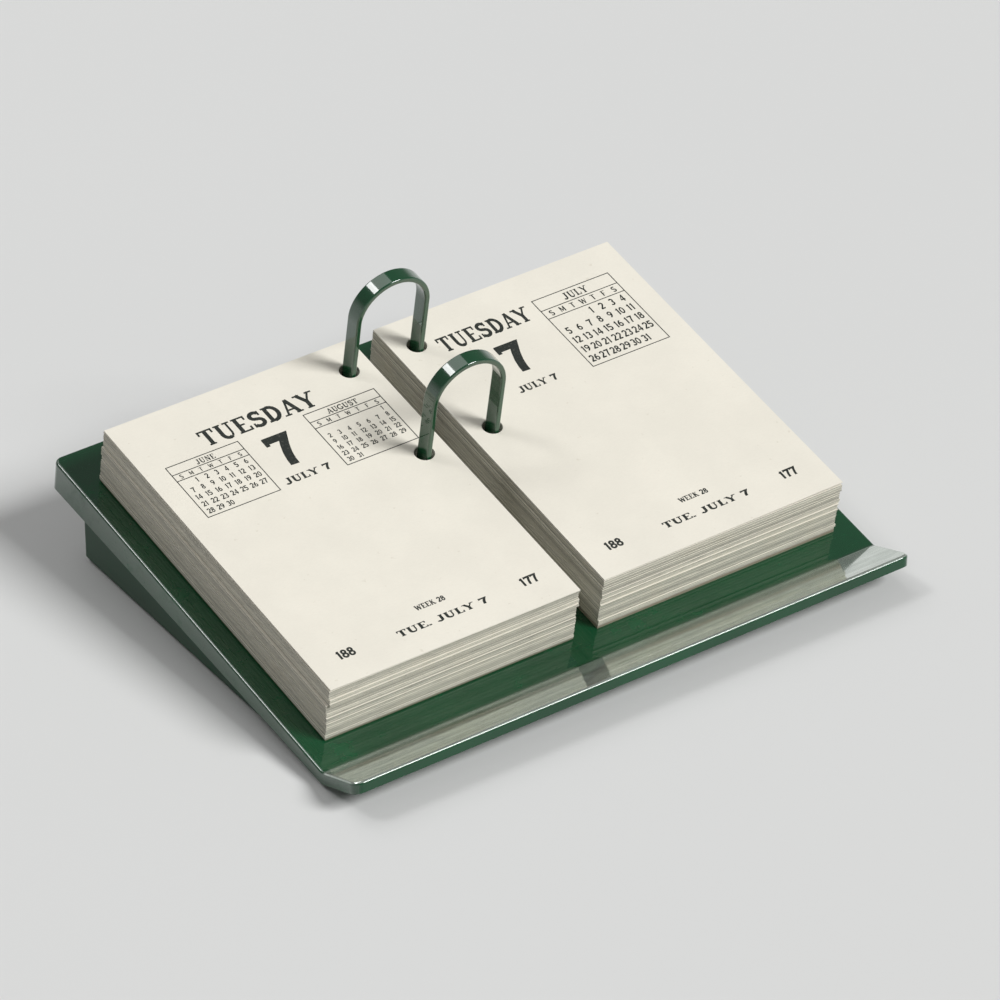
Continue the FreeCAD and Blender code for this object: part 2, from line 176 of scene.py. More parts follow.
# the studio: lamps as name, way the light comes from, strength and width in degrees
LAMPS = [
    ("key", (1.35, -2.1, 2.2), 2.90, 22),
    ("top", (-0.05, 0.57, 0.82), 0.48, 40),
    ("shoulder", (-0.41, 0.43, 0.80), 0.45, 14),
]
ROOM_LIGHT = 0.17
WALL_LIGHT = 0.66
WALL_FADE = (0.04, 0.30)
FLOOR_REACH = 60.0

# the camera
VIEW_TURN = math.radians(-34.6)
VIEW_RISE = math.radians(35.0)
VIEW_DISTANCE = 1.855
VIEW_AIM = Vector((0.0035, -0.006, 0.026))
VIEW_NEAR = 0.05
PIXELS_PER_METRE = 3290.0
FRAME_PIXELS = 1000.0
SENSOR = 36.0


# ---------------------------------------------------------------- the deck's own frame


def deck_matrix():
    """Deck frame: +Y up the slope, +Z off the leaves, origin between the pads' top leaves."""
    hinge = joints["top_leaf_left_turn"]["pos_m"]
    lift = joints["arch_back_lift"]["axis"]
    slope = math.atan2(-lift[1], lift[2])
    return Matrix.Translation((0, hinge[1], hinge[2])) @ Matrix.Rotation(slope, 4, "X")


DECK = deck_matrix()
TILT = DECK.to_euler().x


def deck_box(node):
    """Lowest and highest corner of a CAD node in the deck frame."""
    back = DECK.inverted()
    points = [back @ v.co for v in frame["nodes"][node].data.vertices]
    low = Vector([min(p[i] for p in points) for i in range(3)])
    high = Vector([max(p[i] for p in points) for i in range(3)])
    return low, high


def arch_rows():
    """The y of each arch on the deck, back one first."""
    boxes = [deck_box(node) for node in ("arch_back", "arch_front")]
    return [(low.y + high.y) / 2 for low, high in boxes]


def leaf_holes(side):
    """The middles of a leaf's punched holes, where the arches' legs pass."""
    leg_x = deck_box("arch_back")[1].x - ARCH_STRIP_T / 2
    return [(side * leg_x, y) for y in arch_rows()]


# ---------------------------------------------------------------- nodes


def add_node(tree, kind, settings=None, inputs=()):
    """Adds a node: its settings first, then its sockets' values or links, by place or name."""
    made = tree.nodes.new(kind)
    for key, value in (settings or {}).items():
        setattr(made, key, value)
    pairs = inputs.items() if isinstance(inputs, dict) else enumerate(inputs)
    for key, value in pairs:
        source = value.socket if isinstance(value, Wire) else value
        if isinstance(source, bpy.types.NodeSocket):
            tree.links.new(source, made.inputs[key])
        else:
            made.inputs[key].default_value = source
    return made


class Wire:
    """A shader socket. Python operators on it add Math nodes."""

    def __init__(self, finish, socket):
        self.finish = finish
        self.socket = socket

    def maths(self, operation, *values):
        return self.finish.node("ShaderNodeMath", {"operation": operation}, values)

    def __add__(self, other):
        return self.maths("ADD", self, other)

    def __sub__(self, other):
        return self.maths("SUBTRACT", self, other)

    def __rsub__(self, other):
        return self.maths("SUBTRACT", other, self)

    def __mul__(self, other):
        return self.maths("MULTIPLY", self, other)

    __radd__ = __add__
    __rmul__ = __mul__

    def sine(self):
        return self.maths("SINE", self)

    def root(self):
        return self.maths("SQRT", self)

    def clamp(self):
        return self.finish.node("ShaderNodeClamp", {}, (self,))

    def ramp(self, low, high):
        """0 below low, 1 above high, smooth between."""
        settings = {"interpolation_type": "SMOOTHSTEP"}
        return self.finish.node("ShaderNodeMapRange", settings, {0: self, 1: low, 2: high})


class Finish:
    """One material and the nodes that make it."""

    def __init__(self, name):
        self.material = bpy.data.materials.new(name)
        self.material.use_nodes = True
        self.tree = self.material.node_tree
        self.tree.nodes.clear()

    def node(self, kind, settings=None, inputs=(), output=0):
        """Adds a node and gives one of its outputs."""
        return Wire(self, add_node(self.tree, kind, settings, inputs).outputs[output])

    def place(self, turn=0.0, scale=(1, 1, 1)):
        """Object coordinates, turned back by the deck's slope where asked, and scaled."""
        coords = self.node("ShaderNodeTexCoord", output="Object")
        inputs = {"Vector": coords, "Rotation": (turn, 0, 0), "Scale": scale}
        return self.node("ShaderNodeMapping", {}, inputs)

    def axis(self, letter):
        """One of the Object coordinates."""
        return self.node("ShaderNodeSeparateXYZ", {}, {0: self.place()}, output=letter)

    def noise(self, scale, detail=2.0, place=None, rough=0.5):
        """Cloudy values about one half; scale is in clouds per metre."""
        where = place or self.place()
        inputs = {"Vector": where, "Scale": scale, "Detail": detail, "Roughness": rough}
        return self.node("ShaderNodeTexNoise", {}, inputs)

    def mix(self, factor, first, second):
        """Colour mix from first to second."""
        first = (*first, 1) if isinstance(first, tuple) else first
        second = (*second, 1) if isinstance(second, tuple) else second
        settings = {"data_type": "RGBA"}
        return self.node("ShaderNodeMix", settings, {0: factor, 6: first, 7: second}, output=2)

    def mottle(self, factor, colour, low, high):
        """A colour that drifts between two levels of itself."""
        return self.mix(factor, shade(colour, low), shade(colour, high))

    def bump(self, height, strength, distance):
        """A normal from heights; distance is the relief in metres."""
        inputs = {"Height": height, "Strength": strength, "Distance": distance}
        return self.node("ShaderNodeBump", {}, inputs)

    def surface(self, **sockets):
        """Ends the material in a Principled shader with the given sockets."""
        named = {key.replace("_", " "): value for key, value in sockets.items()}
        shader = self.node("ShaderNodeBsdfPrincipled", {}, named)
        add_node(self.tree, "ShaderNodeOutputMaterial", {}, {"Surface": shader})
        return self.material


def shade(colour, factor):
    """A colour made darker or lighter."""
    return tuple(channel * factor for channel in colour)


# ---------------------------------------------------------------- materials


def front_lip(f):
    """Masks for the lip's upper face and for its hem, measured from the lip's tip."""
    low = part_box("base_plate")[0]
    y = f.axis("Y") - low.y
    z = f.axis("Z") - (low.z + LIP_TOP)
    above = (y * LIP_RISE + z * LIP_RUN) * (1 / math.hypot(LIP_RUN, LIP_RISE))
    face = above.ramp(*LIP_SKIN) * (1 - y.ramp(LIP_RUN - LIP_FOLD, LIP_RUN))
    return face, 1 - y.ramp(*LIP_HEM)


def enamel(name, colour, gloss, worn, lip=False):
    """Stoved enamel on sheet steel: orange peel, a slow drift of colour, hairlines and dull spots.

    With lip, the lip's top is painted bright metal as a highlight, and the hem loses topcoat as
    painted shade.
    """
    f = Finish(name)
    drift = f.noise(22, 3)
    peel = f.noise(1500, 1)
    grime = f.noise(95, 5, rough=0.65)
    hairs = f.noise(60, 4, f.place(scale=(1, 14, 14)), 0.7)
    base = f.mottle(drift.ramp(0.30, 0.70), colour, 0.86, 1.16)
    dull = grime.ramp(0.52, 0.74) * worn
    base = f.mix(dull, base, shade(colour, 1.9))
    chips = f.noise(520, 3, rough=0.7).ramp(0.735, 0.75) * worn
    base = f.mix(chips, base, PRIMER)
    lines = hairs.ramp(0.62, 0.66) * 0.10
    rough = 0.34 - 0.16 * gloss + dull * 0.20 + lines + chips * 0.3
    height = peel * 0.5 + hairs * 0.15 - chips
    topcoat, metallic = gloss * (1 - dull), 0.0
    if lip:
        face, hem = front_lip(f)
        # painted highlight: the lip's upper face turns bright, near-mirror metal in streaks
        streaks = f.noise(60, 4, f.place(scale=(0.6, 3, 3)), 0.6)
        lip_highlight = face * (0.70 + 0.30 * streaks.ramp(0.35, 0.65))
        base = f.mix(lip_highlight, base, PAINTED_LIP_HIGHLIGHT)
        metallic = lip_highlight * 0.9
        rough = rough * (1 - 0.6 * lip_highlight)
        # painted shade: less topcoat along the hem, so it reflects less and reads darker
        topcoat = topcoat * (1 - 0.65 * hem)
    return f.surface(
        Base_Color=base,
        Metallic=metallic,
        Roughness=rough.clamp(),
        Specular_IOR_Level=0.22,
        Coat_Weight=topcoat,
        Coat_Roughness=0.04,
        Coat_IOR=1.7,
        Normal=f.bump(height, 0.10, 0.06 * MM),
    )


def paper(name, colour):
    """Uncoated bond: short fibres, faint clouding and a soft tooth."""
    f = Finish(name)
    level = f.place(-TILT)
    cloud = f.noise(38, 4, level, 0.6)
    fibre = f.noise(900, 4, f.place(-TILT, (1, 2.6, 1)), 0.75)
    fleck = f.noise(420, 2, level).ramp(0.70, 0.78)
    base = f.mottle(cloud.ramp(0.32, 0.68), colour, 0.965, 1.015)
    base = f.mix(fibre.ramp(0.35, 0.75) * 0.16, base, shade(colour, 0.80))
    base = f.mix(fleck * 0.25, base, PAPER_FLECK)
    return f.surface(
        Base_Color=base,
        Roughness=0.82 + fibre * 0.12,
        Normal=f.bump(fibre + cloud * 0.4, 0.22, 0.08 * MM),
        Sheen_Weight=0.12,
        Sheen_Roughness=0.6,
    )


def cut_leaves(name):
    """Cut edges of a pad: each leaf has its own tone, darkened partly as painted shade between
    leaves; streaks are cut marks in the bump and painted shade lines in the colour.
    """
    f = Finish(name)
    tone = f.node("ShaderNodeAttribute", {"attribute_name": "leaf_tone"}, output="Fac")
    streak_shade = f.noise(1, 4, f.place(-TILT, (130, 130, 2600)), 0.7)
    stain = f.noise(70, 3, f.place(-TILT))
    base = f.mottle(tone, SHADED_LEAF_EDGE, 0.56, 1.12)
    # painted shade: dark lines between the leaves
    base = f.mix(streak_shade.ramp(0.50, 0.72) * 0.70, base, shade(SHADED_LEAF_EDGE, 0.34))
    base = f.mix(stain.ramp(0.5, 0.8) * 0.25, base, EDGE_STAIN)
    return f.surface(
        Base_Color=base,
        Roughness=0.90,
        Normal=f.bump(streak_shade, 0.35, 0.12 * MM),
    )


def printing_ink(name):
    """Letterpress ink that sinks into the paper here and there."""
    f = Finish(name)
    sink = f.noise(1700, 3, f.place(-TILT), 0.7)
    return f.surface(
        Base_Color=f.mix(sink.ramp(0.56, 0.80) * 0.45, INK, shade(PAPER, 0.45)),
        Roughness=0.55 + sink * 0.2,
        Normal=f.bump(sink, 0.1, 0.03 * MM),
    )


def pulp_board(name):
    """Grey-brown board of pressed pulp, with dark specks."""
    f = Finish(name)
    chips = f.noise(650, 4, rough=0.75)
    specks = f.noise(1300, 2).ramp(0.66, 0.74)
    base = f.mix(specks * 0.6, f.mottle(chips, PULP, 0.78, 1.22), PULP_SPECK)
    return f.surface(Base_Color=base, Roughness=0.92, Normal=f.bump(chips, 0.3, 0.1 * MM))


def plated_steel(name, colour, grain):
    """Bright or blued steel: drawn lines along X and cloudy plating."""
    f = Finish(name)
    drawn = f.noise(900 * grain, 3, f.place(scale=(0.05, 1, 1)), 0.7)
    cloud = f.noise(120, 4)
    return f.surface(
        Base_Color=f.mottle(cloud.ramp(0.3, 0.7), colour, 0.82, 1.12),
        Metallic=1.0,
        Roughness=0.30 + drawn * 0.14 + cloud * 0.08,
        Normal=f.bump(drawn, 0.12, 0.04 * MM),
    )


def turned_metal(name, centre):
    """Knob metal with fine rings from the lathe round its axis, which runs along Y."""
    f = Finish(name)
    x = f.axis("X") - centre.x
    z = f.axis("Z") - centre.z
    radius = (x * x + z * z).root()
    rings = (radius * LATHE_MARKS).sine() * 0.5 + 0.5
    haze = f.noise(400, 3)
    return f.surface(
        Base_Color=f.mottle(haze, ALUMINIUM, 0.86, 1.06),
        Metallic=1.0,
        Roughness=0.20 + haze * 0.14 + rings * 0.05,
        Normal=f.bump(rings, 0.12, 0.03 * MM),
    )


def moulded_rubber(name):
    """Black rubber with a fine grain and a grey bloom."""
    f = Finish(name)
    grain = f.noise(1400, 3, rough=0.7)
    bloom = f.noise(160, 4)
    return f.surface(
        Base_Color=f.mottle(bloom.ramp(0.4, 0.7), RUBBER, 1.0, 2.6),
        Roughness=0.70 + grain * 0.2,
        Normal=f.bump(grain, 0.2, 0.06 * MM),
    )


def wool_felt(name):
    """Green felt: fine fibres in pale tangles."""
    f = Finish(name)
    fibre = f.noise(1100, 5, rough=0.8)
    tangle = f.noise(260, 4, rough=0.7)
    base = f.mottle(fibre, FELT, 0.55, 1.7)
    return f.surface(
        Base_Color=f.mix(tangle.ramp(0.5, 0.7) * 0.3, base, shade(FELT, 2.4)),
        Roughness=0.96,
        Sheen_Weight=0.25,
        Sheen_Roughness=0.5,
        Normal=f.bump(fibre + tangle * 0.6, 0.6, 0.25 * MM),
    )


def pale_floor(name):
    """Matt floor that throws a little less light up than it shows."""
    f = Finish(name)
    base = f.mottle(f.noise(3, 2), FLOOR, 0.985, 1.01)
    bounce = f.node("ShaderNodeLightPath", output="Is Diffuse Ray")
    return f.surface(Base_Color=f.mix(bounce, base, FLOOR_BOUNCE), Roughness=0.75)


# ---------------------------------------------------------------- flat outlines to closed meshes


def mesh_object(name, mesh, material):
    """Puts a mesh in the scene, with a material where it has none."""
    made = bpy.data.objects.new(name, mesh)
    bpy.context.scene.collection.objects.link(made)
    if not mesh.materials:
        mesh.materials.append(material)
    return made


def slab_mesh(name, points, faces, low, high):
    """Closed slab over flat triangles: low and high give each point's lower and upper height."""
    count = len(points)
    verts = [(x, y, low(x, y)) for x, y in points] + [(x, y, high(x, y)) for x, y in points]
    solid = [tuple(reversed(face)) for face in faces]
    solid += [tuple(i + count for i in face) for face in faces]
    sides = {(a, b) for face in faces for a, b in zip(face, face[1:] + face[:1])}
    solid += [(a, b, b + count, a + count) for a, b in sorted(sides) if (b, a) not in sides]
    mesh = bpy.data.meshes.new(name)
    mesh.from_pydata(verts, [], solid)
    mesh.validate()
    return mesh


def ring(x, y, radius, sides):
    """Points of a round outline."""
    turns = [2 * math.pi * i / sides for i in range(sides)]
    return [(x + radius * math.cos(a), y + radius * math.sin(a)) for a in turns]


def steps(start, end, step):
    """Even places from start to end, about a step apart."""
    count = max(1, round(abs(end - start) / step))
    return [start + (end - start) * i / count for i in range(count + 1)]


def inside_hole(x, y, holes, radius):
    """Whether a point lies in one of the round holes."""
    return any(math.hypot(x - hx, y - hy) < radius for hx, hy in holes)


def punched_plan(x0, x1, y0, y1, holes, step):
    """Triangles of a leaf with its punched holes: points and faces."""
    xs, ys = steps(x0, x1, step), steps(y0, y1, step)
    rim = [(x, y0) for x in xs[:-1]] + [(x1, y) for y in ys[:-1]]
    rim += [(x, y1) for x in reversed(xs[1:])] + [(x0, y) for y in reversed(ys[1:])]
    loops = [rim] + [ring(hx, hy, PUNCH_R, PUNCH_SIDES) for hx, hy in holes]
    points, edges = [], []
    for loop in loops:
        first = len(points)
        points += loop
        last = len(points) - 1
        edges += [(i, i + 1 if i < last else first) for i in range(first, last + 1)]
    near = PUNCH_R * PUNCH_CLEAR
    inner = [(x, y) for x in xs[1:-1] for y in ys[1:-1]]
    points += [(x, y) for x, y in inner if not inside_hole(x, y, holes, near)]
    flat = [Vector(p) for p in points]
    verts, _, faces = delaunay_2d_cdt(flat, edges, [], 0, SAME_PLACE)[:3]
    kept = []
    for face in faces:
        middle = sum((verts[i] for i in face), Vector((0, 0))) / len(face)
        if not inside_hole(middle.x, middle.y, holes, PUNCH_R * PUNCH_SKIN):
            kept.append(tuple(face))
    return [(v.x, v.y) for v in verts], kept


# ---------------------------------------------------------------- lettering


def arc(cx, cy, rx, ry, start, end, count=9):
    """Points along an ellipse, from one angle to another."""
    turns = [math.radians(start + (end - start) * i / count) for i in range(count + 1)]
    return [(cx + rx * math.cos(a), cy + ry * math.sin(a)) for a in turns]


def thick(*points):
    """A letter's main stroke."""
    return "thick", points


def bowl(*points):
    """A closed round stroke, a little lighter than a main one."""
    return "bowl", points


def thin(*points):
    """A letter's light stroke."""
    return "thin", points


def spur(*points):
    """A short end stroke, left out where the letter is cut without serifs."""
    return "spur", points


def foot(x, y, reach=0.16):
    """A flat spur centred on x."""
    return spur((x - reach, y), (x + reach, y))


# Each letter: its set width, then its strokes, in heights of a capital.
TOP, FOOT, MID = 0.955, 0.045, 0.5
GLYPHS = {
    "A": (0.86, [
        thin((0.14, 0), (0.42, 1)), thick((0.42, 1), (0.72, 0)), thin((0.22, 0.32), (0.62, 0.32)),
        foot(0.14, FOOT), foot(0.72, FOOT)]),
    "D": (0.84, [
        thick((0.22, 0), (0.22, 1)), thin((0.06, TOP), (0.36, TOP)),
        thin((0.06, FOOT), (0.36, FOOT)), thick(*arc(0.34, 0.5, 0.34, 0.44, 95, -95, 12))]),
    "E": (0.76, [
        thick((0.22, 0), (0.22, 1)), thin((0.06, TOP), (0.66, TOP)),
        thin((0.22, MID), (0.52, MID)), thin((0.06, FOOT), (0.70, FOOT)),
        spur((0.63, 1), (0.63, 0.74)), spur((0.67, 0), (0.67, 0.27))]),
    "F": (0.72, [
        thick((0.22, 0), (0.22, 1)), thin((0.06, TOP), (0.66, TOP)),
        thin((0.22, MID), (0.52, MID)), foot(0.22, FOOT)]),
    "G": (0.88, [
        thick(*arc(0.44, 0.5, 0.36, 0.44, 40, 320, 16)), thin((0.50, 0.42), (0.80, 0.42)),
        thick((0.72, 0.44), (0.72, 0.12))]),
    "J": (0.66, [
        thick((0.44, 1), (0.44, 0.26), *arc(0.26, 0.26, 0.18, 0.21, -20, -160, 6)),
        foot(0.44, TOP)]),
    "K": (0.86, [
        thick((0.22, 0), (0.22, 1)), thin((0.24, 0.40), (0.68, 1)), thick((0.38, 0.58), (0.72, 0)),
        foot(0.22, TOP), foot(0.22, FOOT), foot(0.72, FOOT)]),
    "L": (0.72, [
        thick((0.22, 0), (0.22, 1)), thin((0.06, FOOT), (0.66, FOOT)),
        spur((0.63, 0), (0.63, 0.30)), foot(0.22, TOP)]),
    "M": (1.02, [
        thin((0.20, 0), (0.20, 1)), thick((0.22, 1), (0.51, 0.15)), thin((0.51, 0.15), (0.80, 1)),
        thick((0.82, 1), (0.82, 0)), foot(0.20, FOOT), foot(0.82, FOOT)]),
    "N": (0.90, [
        thin((0.20, 0), (0.20, 1)), thick((0.22, 1), (0.68, 0)), thin((0.70, 0), (0.70, 1)),
        foot(0.20, FOOT), foot(0.70, TOP)]),
    "O": (0.88, [thick(*arc(0.44, 0.5, 0.32, 0.43, 0, 360, 20))]),
    "S": (0.72, [
        thick(*arc(0.36, 0.73, 0.22, 0.21, 30, 270, 10),
              *arc(0.36, 0.28, 0.24, 0.23, 88, -150, 10)),
        spur((0.57, 0.70), (0.57, 0.98)), spur((0.12, 0.30), (0.12, 0.02))]),
    "T": (0.80, [
        thick((0.40, 0), (0.40, 1)), thin((0.05, TOP), (0.75, TOP)), spur((0.09, 1), (0.09, 0.72)),
        spur((0.71, 1), (0.71, 0.72)), foot(0.40, FOOT)]),
    "U": (0.88, [
        thick((0.22, 1), (0.22, 0.34), *arc(0.44, 0.34, 0.22, 0.29, 190, 305, 8)),
        thin(*arc(0.44, 0.34, 0.23, 0.33, 275, 355, 6), (0.67, 0.40), (0.67, 1)),
        foot(0.22, TOP), foot(0.67, TOP)]),
    "W": (1.10, [
        thick((0.13, 1), (0.33, 0)), thin((0.33, 0), (0.55, 0.9)), thick((0.55, 0.9), (0.77, 0)),
        thin((0.77, 0), (0.98, 1)), foot(0.14, TOP), foot(0.97, TOP)]),
    "Y": (0.84, [
        thick((0.13, 1), (0.42, 0.44)), thin((0.72, 1), (0.42, 0.44)),
        thick((0.42, 0), (0.42, 0.50)), foot(0.12, TOP), foot(0.72, TOP), foot(0.42, FOOT)]),
    "0": (0.66, [bowl(*arc(0.33, 0.5, 0.22, 0.42, 0, 360, 18))]),
    "1": (0.46, [thick((0.26, 0), (0.26, 1)), thin((0.28, 0.93), (0.07, 0.78))]),
    "2": (0.66, [
        thick(*arc(0.33, 0.70, 0.21, 0.23, 165, -25, 10), (0.14, 0.08)),
        thick((0.06, 0.08), (0.60, 0.08))]),
    "3": (0.64, [
        thick(*arc(0.30, 0.72, 0.20, 0.21, 150, -80)),
        thick(*arc(0.30, 0.29, 0.22, 0.22, 85, -150))]),
    "4": (0.70, [
        thick((0.46, 0), (0.46, 1)), thin((0.44, 0.97), (0.08, 0.30)),
        thick((0.04, 0.29), (0.64, 0.29))]),
    "5": (0.66, [
        thick((0.58, 0.92), (0.17, 0.92), (0.14, 0.52)),
        thick(*arc(0.31, 0.32, 0.24, 0.25, 128, -145, 12))]),
    "6": (0.66, [
        bowl(*arc(0.33, 0.30, 0.22, 0.23, 0, 360, 16)),
        thick(*arc(0.55, 0.30, 0.44, 0.62, 180, 105))]),
    "7": (0.66, [
        thick((0.06, 0.91), (0.57, 0.91), (0.46, 0.65), (0.38, 0.40), (0.34, 0.18), (0.33, 0)),
        spur((0.10, 0.99), (0.10, 0.74))]),
    "8": (0.66, [
        bowl(*arc(0.33, 0.73, 0.18, 0.19, 0, 360, 16)),
        bowl(*arc(0.33, 0.29, 0.22, 0.22, 0, 360, 16))]),
    "9": (0.66, [
        bowl(*arc(0.33, 0.70, 0.22, 0.23, 0, 360, 16)),
        thick(*arc(0.11, 0.70, 0.44, 0.62, 0, -75))]),
    " ": (0.42, []),
    ".": (0.30, [thick((0.12, 0.0), (0.12, 0.17))]),
}
WEIGHTS = {"thick": 0.088, "bowl": 0.080, "thin": 0.045, "spur": 0.042}


def ribbon(points, half):
    """A line of even width as quads, mitred where it bends and closed where its ends meet."""
    path = [Vector(p) for p in points]
    looped = (path[0] - path[-1]).length < SLACK
    count = len(path)
    sides = []
    for i, point in enumerate(path):
        before = path[-2] if looped and i == 0 else path[max(i - 1, 0)]
        after = path[1] if looped and i == count - 1 else path[min(i + 1, count - 1)]
        runs = [point - before, after - point]
        runs = [run.normalized() for run in runs if run.length > SAME_PLACE]
        along = sum(runs, Vector((0, 0))).normalized()
        mitre = half / max(along.dot(runs[0]), MITRE_LIMIT)
        sides.append(Vector((-along.y, along.x)) * mitre)
    quads = []
    for i in range(count - 1):
        a, b = path[i], path[i + 1]
        corners = [a - sides[i], b - sides[i + 1], b + sides[i + 1], a + sides[i]]
        quads.append([(c.x, c.y) for c in corners])
    return quads


def holds(quad, x, y):
    """Whether a point lies in a convex outline that runs anticlockwise."""
    for (ax, ay), (bx, by) in zip(quad, quad[1:] + quad[:1]):
        if (bx - ax) * (y - ay) - (by - ay) * (x - ax) < -SLACK:
            return False
    return True


def joined(quads):
    """Overlapping convex outlines as one flat mesh: points and triangles."""
    points, faces = [], []
    for quad in quads:
        first = len(points)
        points += [Vector(p) for p in quad]
        faces.append(list(range(first, len(points))))
    verts, _, triangles = delaunay_2d_cdt(points, [], faces, 0, SLACK, False)[:3]
    kept = []
    for triangle in triangles:
        x = sum(verts[i].x for i in triangle) / 3
        y = sum(verts[i].y for i in triangle) / 3
        if any(holds(quad, x, y) for quad in quads):
            kept.append(tuple(triangle))
    return [(v.x, v.y) for v in verts], kept


type_case = {}


def glyph(letter, bold, serifs):
    """One letter as flat triangles, cut once for each weight."""
    key = (letter, bold, serifs)
    if key not in type_case:
        quads = []
        for weight, points in GLYPHS[letter][1]:
            if serifs or weight != "spur":
                quads += ribbon(points, WEIGHTS[weight] * bold)
        type_case[key] = joined(quads) if quads else ([], [])
    return type_case[key]


def word_width(text, size, spread=1.0):
    """How long a word is once it is set."""
    return sum(GLYPHS[letter][0] for letter in text) * size * spread


def word(text, x, y, size, bold=1.0, spread=1.0, serifs=True):
    """A word's letters as flat pieces, from its lower left corner; size is a capital's height."""
    pieces = []
    for letter in text:
        points, faces = glyph(letter, bold, serifs)
        pieces.append(([(x + px * size * spread, y + py * size) for px, py in points], faces))
        x += GLYPHS[letter][0] * size * spread
    return pieces


def spread_word(text, x0, x1, y, size, bold):
    """A word spread to fill the space from x0 to x1."""
    return word(text, x0, y, size, bold=bold, spread=(x1 - x0) / word_width(text, size))


def centred_word(text, x, y, size, spread=1.0, **style):
    """A word set about its middle."""
    left = x - word_width(text, size, spread) / 2
    return word(text, left, y, size, spread=spread, **style)


def ruled_frame(x0, x1, levels, half):
    """A printed frame with rules across it, as one piece, in short runs that follow the leaf."""
    low, high = levels[0] - half, levels[-1] + half
    quads = [ribbon([(x, low), (x, high)], half) for x in (x0, x1)]
    xs = steps(x0, x1, RULE_RUN)
    quads += [ribbon([(x, y) for x in xs], half) for y in levels]
    return joined([quad for run in quads for quad in run])


def month_block(x0, x1, y0, y1, title, first, days):
    """A small month: title, day initials and dates; first is the weekday column of the 1st."""
    height = y1 - y0
    title_y, days_y = y1 - TITLE_DROP * height, y1 - DAYS_DROP * height
    levels = [y / MM for y in (y0, days_y, title_y, y1)]
    points, faces = ruled_frame(x0 / MM, x1 / MM, levels, RULE / 2 / MM)
    pieces = [([(x * MM, y * MM) for x, y in points], faces)]
    size = TITLE_SIZE * height
    pieces += centred_word(title, (x0 + x1) / 2, title_y + size * TITLE_RISE, size)
    column = (x1 - x0) / MONTH_COLUMNS
    left = x0 + FIRST_COLUMN * column
    for i, letter in enumerate("SMTWTFS"):
        y = days_y + DAYS_RISE * height
        pieces += centred_word(letter, left + i * column, y, size * DAYS_SIZE, serifs=False)
    rows = math.ceil((first + days) / 7)
    pitch = (days_y - y0) / (rows + SPARE_ROW)
    tall = min(size, pitch * FIGURE_SIZE)
    for day in range(1, days + 1):
        row, col = divmod(first + day - 1, 7)
        x, y = left + col * column, days_y - (row + FIGURE_DROP) * pitch
        pieces += centred_word(str(day), x, y, tall, spread=FIGURE_SPREAD, serifs=False)
    return pieces


class Day:
    """The words and figures of one page."""

    def __init__(self, weekday, date):
        self.weekday = weekday
        self.number = str(date)
        self.month_line = f"JULY {date}"
        self.full_line = f"{weekday[:3]}. JULY {date}"
        self.passed = str(DAYS_BEFORE_JULY + date)
        self.left = str(DAYS_FROM_JULY - date)


def spread_line(text, place, x, y, bold):
    """A line spread over its place on the page."""
    left, right, base, size = (value * MM for value in place)
    return spread_word(text, x + left, x + right, y + base, size, bold)


def page_foot(day, x, y):
    """The days gone, the days left and two short lines between them."""
    pieces = []
    for count, (left, size) in ((day.passed, FOOT_PASSED), (day.left, FOOT_LEFT)):
        pieces += word(count, x + left * MM, y, size * MM, bold=COUNT_BOLD)
    middle, base, size = (value * MM for value in FOOT_WEEK)
    pieces += centred_word(WEEK, x + middle, y + base, size, bold=LINE_BOLD)
    return pieces + spread_line(day.full_line, FOOT_LINE, x, y, LINE_BOLD)


def page(day, layout, x, y):
    """A page's print, by its layout; x and y are the leaf's front left corner."""
    pieces = spread_line(day.weekday, layout["weekday"], x, y, WEEKDAY_BOLD)
    left, base, size = (value * MM for value in layout["number"])
    pieces += word(day.number, x + left, y + base, size, bold=NUMBER_BOLD)
    pieces += spread_line(day.month_line, layout["month_line"], x, y, LINE_BOLD)
    for title, first, days, place in layout["months"]:
        x0, x1, y0, y1 = (value * MM for value in place)
        pieces += month_block(x + x0, x + x1, y + y0, y + y1, title, first, days)
    foot_x, foot_y = (value * MM for value in layout["foot"])
    return pieces + page_foot(day, x + foot_x, y + foot_y)


# ---------------------------------------------------------------- paper pieces


def curl(x, y, box, side):
    """How far the top leaf stands off the pad: flat by the arches, rising to its outer corner."""
    low, high = box
    out = (x - low.x) / (high.x - low.x)
    out = out if side > 0 else 1 - out
    front = 1 - (y - low.y) / (high.y - low.y)
    return CURL * (CURL_SIDE * out**2 + CURL_CORNER * (out * front) ** CURL_POWER)


def top_leaf(side, name, material):
    """The leaf that is turned, with its two holes and a little curl."""
    box = deck_box(name)
    low, high = box

    def under(x, y):
        return low.z + curl(x, y, box, side)

    def over(x, y):
        return high.z + curl(x, y, box, side)

    points, faces = punched_plan(low.x, high.x, low.y, high.y, leaf_holes(side), GRID_STEP)
    mesh = slab_mesh(name + "_sheet", points, faces, under, over)
    mesh.transform(DECK)
    return mesh_object(name + "_sheet", mesh, material)


def print_film(name, pieces, surface, facing, ink):
    """A film of ink from flat pieces.

    surface gives the paper's height; facing is 1 on top of the paper and -1 beneath it.
    """
    flat, faces = [], []
    for points, triangles in pieces:
        faces += [tuple(i + len(flat) for i in triangle) for triangle in triangles]
        flat += points
    rise, sink = (INK_RISE, INK_SINK) if facing > 0 else (INK_SINK, INK_RISE)

    def under(x, y):
        return surface(x, y) - sink

    def over(x, y):
        return surface(x, y) + rise

    mesh = slab_mesh(name, flat, faces, under, over)
    mesh.transform(DECK)
    return mesh_object(name, mesh, ink)


def front_print(side, name, layout, day, ink):
    """The print on top of the leaf that is turned."""
    box = deck_box(name)
    low, high = box
    pieces = page(day, layout, low.x, low.y)
    return print_film(
        name + "_print", pieces, lambda x, y: high.z + curl(x, y, box, side), 1, ink
    )


